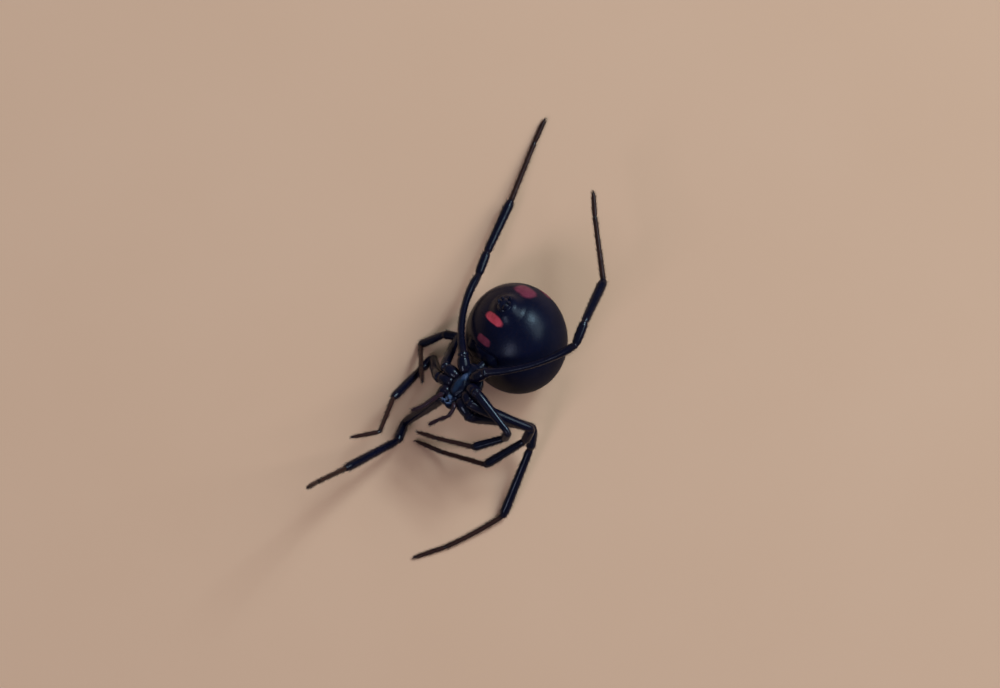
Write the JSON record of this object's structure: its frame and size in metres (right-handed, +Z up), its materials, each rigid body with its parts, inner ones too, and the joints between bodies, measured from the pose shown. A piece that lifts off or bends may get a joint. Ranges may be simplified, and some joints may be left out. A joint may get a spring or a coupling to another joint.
{
  "type": "black widow spider model",
  "caption": "Life-size still model of an adult female black widow spider lying belly up, with a round glossy abdomen, slender bent legs and red belly marks.",
  "frame": {"origin": "the middle of the small flat under the abdomen that the spider rests on", "axes": "+Z up from the floor towards the belly side, +Y along the longest reach, towards the tips of the back legs, and +X to the right of the picture that looks straight down at the belly"},
  "size_m": [0.0221, 0.0326, 0.0118],
  "materials": {
    "abdomen_black": "gloss",
    "body_black": "gloss",
    "leg_black": "gloss",
    "foot_brown": "satin"
  },
  "bodies": {
    "root": {"abdomen": "abdomen_black", "spinnerets": "body_black", "cephalothorax": "body_black", "chelicera_left": "body_black", "chelicera_right": "body_black", "palp_left": "foot_brown", "palp_right": "foot_brown", "leg_left_1_femur": "leg_black", "leg_left_1_tibia": "leg_black", "leg_left_1_foot": "foot_brown", "leg_left_2_femur": "leg_black", "leg_left_2_tibia": "leg_black", "leg_left_2_foot": "foot_brown", "leg_left_3_femur": "leg_black", "leg_left_3_tibia": "leg_black", "leg_left_3_foot": "foot_brown", "leg_left_4_femur": "leg_black", "leg_left_4_tibia": "leg_black", "leg_left_4_foot": "foot_brown", "leg_right_1_femur": "leg_black", "leg_right_1_tibia": "leg_black", "leg_right_1_foot": "foot_brown", "leg_right_2_femur": "leg_black", "leg_right_2_tibia": "leg_black", "leg_right_2_foot": "foot_brown", "leg_right_3_femur": "leg_black", "leg_right_3_tibia": "leg_black", "leg_right_3_foot": "foot_brown", "leg_right_4_femur": "leg_black", "leg_right_4_tibia": "leg_black", "leg_right_4_foot": "foot_brown"}
  },
  "joints": []
}
